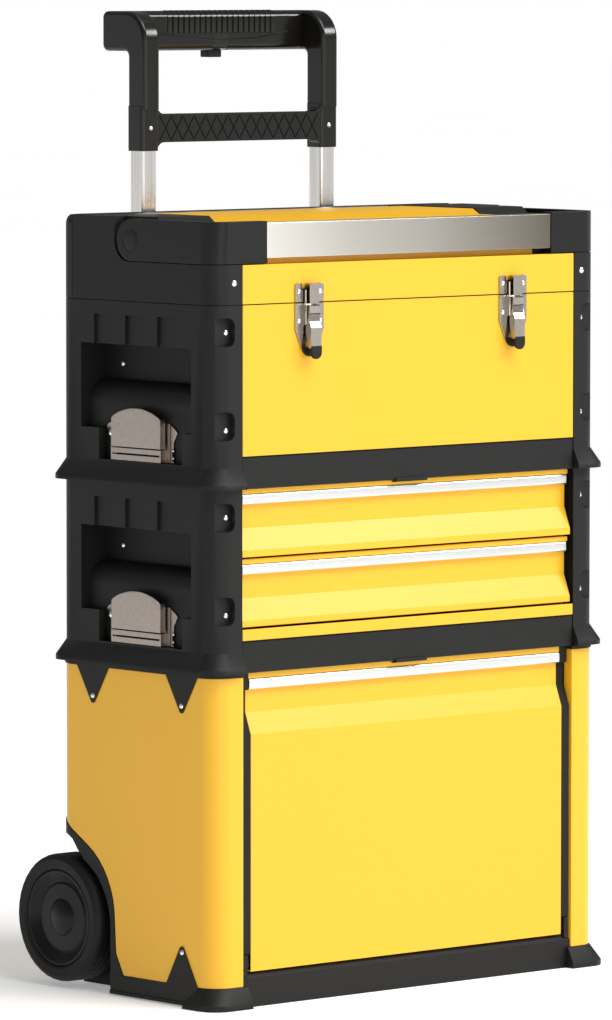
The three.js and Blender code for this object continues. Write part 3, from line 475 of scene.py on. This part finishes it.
# ---- Front draw latches ----
for side, name in zip(LEFT_RIGHT, ("left", "right")):
    def local(points, x0=side * DRAW_LATCH_X):
        return [(x0 + x, SEAM + z) for x, z in points]

    x0 = side * DRAW_LATCH_X
    verts, faces = [], []
    plate = local([(-19, 0.8), (19, 0.8), (19, 18), (17.5, 19.5), (9.9, 19.5), (9.9, 14.5), (-9.9, 14.5),
                   (-9.9, 19.5),
                   (-17.5, 19.5), (-19, 18)])
    rounded_prism(verts, faces, plate, "y", -1.8, -0.3, 0.35, 2)
    crown = [(-9.3, SEAM - 0.9), (-8.4, SEAM - 0.9), (-8.4, SEAM + 17.4), (-1.0, SEAM + 18.6),
             (-1.0, SEAM + 19.5),
             (-9.3, SEAM + 19.5)]
    rounded_prism(verts, faces, crown, "x", x0 - 6.2, x0 + 6.2, 0.3, 2)
    block(verts, faces, place(x0 + 5.2, -8.6, SEAM - 0.9), place(x0 + 6.1, -1.0, SEAM + 18))
    for offset, depth in ((-7.4, -4.2), (7.4, -4.2)):
        wire = [(x0 + offset + u, depth + v) for u, v in arc(0, 0, 1.15, 0, 324, 9)]
        rounded_prism(verts, faces, wire, "z", SEAM - 22, SEAM + 13)
    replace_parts(mesh_piece(f"latch_strike_{name}", verts, faces, BUCKLE, "lid"),
                f"draw_latch_strike_{name}")

    verts, faces = [], []
    block(verts, faces, place(x0 - 6.3, -7.9, SEAM - 0.6), place(x0 + 4.8, -1.9, SEAM + 15.5))
    mesh_piece(f"latch_shade_{name}", verts, faces, GAP_SHADE, "lid")

    verts, faces = [], []
    base = local([(-19, -0.8), (-19, -27), (-11, -46), (-7.5, -46), (0, -31), (7.5, -46), (11, -46),
                  (19, -27), (19, -0.8)])
    rounded_prism(verts, faces, base, "y", -1.8, -0.3, 0.35, 2)
    cheek = [(-1.6, SEAM - 2), (-6.5, SEAM - 2), (-6.5, SEAM - 8), (-4, SEAM - 22), (-1.6, SEAM - 24)]
    for offset in (-9.6, 9.0):
        rounded_prism(verts, faces, cheek, "x", x0 + offset, x0 + offset + 0.6)
    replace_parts(mesh_piece(f"latch_base_{name}", verts, faces, BUCKLE, "box"),
                f"draw_latch_base_{name}")
    verts, faces = [], []
    pad = local([(-10.4, -44)] + [(u, v - 44) for u,
                                  v in arc(0, 0, 10.4, 180, 360, 12)][1:-1] + [(10.4, -44), (6.5, -44),
                                                                               (0, -47), (-6.5, -44)])
    rounded_prism(verts, faces, pad, "y", -2.6, -0.4, 0.5, 2)
    mesh_piece(f"latch_pad_{name}", verts, faces, BLACK, "box")

    verts, faces = [], []
    lever = [(-5.5, SEAM - 3), (-9, SEAM - 1.9), (-10.4, SEAM - 3.4), (-10.1, SEAM - 10.6),
             (-9.2, SEAM - 11), (-9.6, SEAM - 19),
             (-12, SEAM - 25), (-12, SEAM - 45.4), (-9.5, SEAM - 46), (-6.5, SEAM - 44), (-3.6, SEAM - 30),
             (-3.4, SEAM - 9)]
    rounded_prism(verts, faces, lever, "x", x0 - 7.2, x0 + 7.2, 0.4, 2)
    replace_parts(mesh_piece(f"latch_lever_{name}", verts, faces, BUCKLE, f"draw_lever_{name}", 14),
                f"draw_latch_lever_{name}")
    verts, faces = [], []
    tip = local([(6.9, -43.5), (6.9, -50)] + [(u, v - 50) for u,
                                              v in arc(0, 0, 6.9, 360, 180, 10)][1:-1] + [(-6.9, -50),
                                                                                          (-6.9, -43.5)])
    rounded_prism(verts, faces, tip[::-1], "y", -13.2, -9.6, 0.9, 3)
    mesh_piece(f"latch_tip_{name}", verts, faces, BLACK, f"draw_lever_{name}")
    # Painted shade: a dark strip along the crease across the lever.
    verts, faces = [], []
    block(verts, faces, place(x0 - 7.0, -9.75, SEAM - 11.5), place(x0 + 7.0, -9.0, SEAM - 10.7))
    mesh_piece(f"latch_crease_shade_{name}", verts, faces, GAP_SHADE, f"draw_lever_{name}")

# Side latches: painted shade strips that stand for the shaded slots and seams, and screws
for body, foot in (("box", BOX_FOOT), ("cabinet", CABINET_FOOT)):
    verts, faces = [], []
    for side in LEFT_RIGHT:
        for x, d0, d1, z0, z1 in ((264.68, 87, 155, 29, 30.6), (256.9, 77.4, 78.4, 25, 61),
                                  (256.9, 72.5, 75.5, 25, 38),
                                  (264.68, 84.6, 161, 35.7, 36.4)):
            low, high = sorted((side * x, side * (x - 0.5)))
            block(verts, faces, place(low, d0, foot + z0), place(high, d1, foot + z1))
    mesh_piece(f"{body}_latch_slot_shade", verts, faces, GAP_SHADE, body)
    rivets(f"{body}_latch_screws", body, [(place(side * 257, 74, foot + z), (side, 0, 0))
                                          for side in LEFT_RIGHT for z in (28, 36)], 0.45)

# Painted shade: dark strips that stand for the shaded gaps along the fronts
for body, strips in (("box", ((SEAM - 0.45, SEAM + 0.15), (BOX_FOOT + 31.5, BOX_FOOT + 32.6))),
                     ("cabinet", ((CABINET_FOOT + 31.4, CABINET_FOOT + 32.6),))):
    verts, faces = [], []
    for low, high in strips:
        block(verts, faces, place(-228.2, -0.2, low), place(228.2, 0.6, high))
    if body == "cabinet":
        for low, high in ((-228.6, -228.3), (228.3, 228.6)):
            block(verts, faces, place(low, 0.6, CABINET_FOOT + 33), place(high, 30, BOX_FOOT - 1))
    mesh_piece(f"{body}_front_gap_shade", verts, faces, GAP_SHADE, body)

# Painted shade in the grooves round the tyre treads, drawn as dark rings that stand just proud of the tread
inner, outer = TREAD_RADIUS - 0.4, TREAD_RADIUS + 0.03
for side, name in zip(LEFT_RIGHT, ("left", "right")):
    verts, faces = [], []
    for offset in GROOVE_OFFSETS:
        ring = [(inner, offset - 0.7), (outer, offset - 0.6), (outer, offset + 0.6), (inner, offset + 0.7)]
        turned(verts, faces, place(side * WHEEL_X, WHEEL_DEPTH, WHEEL_Z), (side, 0, 0), ring[::-1], 64)
        faces.pop()
    mesh_piece(f"tread_groove_shade_{name}", verts, faces, GAP_SHADE, f"wheel_{name}")

# ---- Studio ----
bpy.ops.mesh.primitive_circle_add(vertices=96, radius=260, fill_type="NGON", location=(0, 0, 0))
floor = bpy.context.object
floor.name = "floor"
material, tree, shader = new_material("studio_floor")
shade = ramp(tree, noise(tree, object_coordinates(tree), 0.8), 0.92, 0.94)
tree.links.new(node(tree, "ShaderNodeCombineColor", {0: shade, 1: shade, 2: shade}).outputs[0],
               shader.inputs["Base Color"])
shader.inputs["Roughness"].default_value = 0.9
shader.inputs["Specular IOR Level"].default_value = 0.0
shader.inputs["Emission Color"].default_value = (1, 1, 1, 1)
shader.inputs["Emission Strength"].default_value = 0.3
floor.data.materials.append(material)

world = bpy.data.worlds.new("studio")
world.use_nodes = True
world.node_tree.nodes["Background"].inputs["Color"].default_value = (1.0, 1.0, 1.0, 1)
world.node_tree.nodes["Background"].inputs["Strength"].default_value = 0.25
SCENE.world = world


def light(name, kind, energy, location, target, **settings):
    data = bpy.data.lights.new(name, kind)
    data.energy = energy
    for key, value in settings.items():
        setattr(data, key, value)
    lamp = bpy.data.objects.new(name, data)
    lamp.location = location
    lamp.rotation_euler = (Vector(target) - Vector(location)).to_track_quat("-Z", "Y").to_euler()
    SCENE.collection.objects.link(lamp)


light("key", "SUN", 2.0, (0.7, -2.2, 3.4), (0, 0, 0.4), angle=math.radians(38))
light("left_softbox", "AREA", 5.5, (-0.8, -1.7, 0.8), (-0.2, 0, 0.5), shape="RECTANGLE", size=0.5, size_y=1.6)
light("glint_softbox", "AREA", 34, (2.0, -1.85, 2.15), (0, 0, 0.75), shape="RECTANGLE", size=0.8, size_y=0.7)
light("right_softbox", "AREA", 11, (1.3, -3.2, 0.9), (0, 0, 0.5), shape="RECTANGLE", size=1.0, size_y=2.0)
light("top_softbox", "AREA", 9, (0.2, -0.3, 3.0), (0, 0, 0.6), shape="RECTANGLE", size=2.2, size_y=1.6)

camera = bpy.data.objects.new("camera", bpy.data.cameras.new("camera"))
camera.data.sensor_width = 36
camera.data.lens = 256.15
camera.data.clip_end = 400
TURN, TILT, ROLL = math.radians(-41.4574), math.radians(-4.362), math.radians(0.040)
camera.matrix_world = (
    Matrix.Translation((-4.98224, -5.63718, 1.05717)) @ Matrix.Rotation(TURN, 4, "Z")
    @ Matrix.Rotation(math.pi / 2 + TILT, 4, "X") @ Matrix.Rotation(ROLL, 4, "Z"))
SCENE.collection.objects.link(camera)
SCENE.camera = camera
SCENE.view_settings.view_transform = "Standard"

bpy.context.view_layer.update()
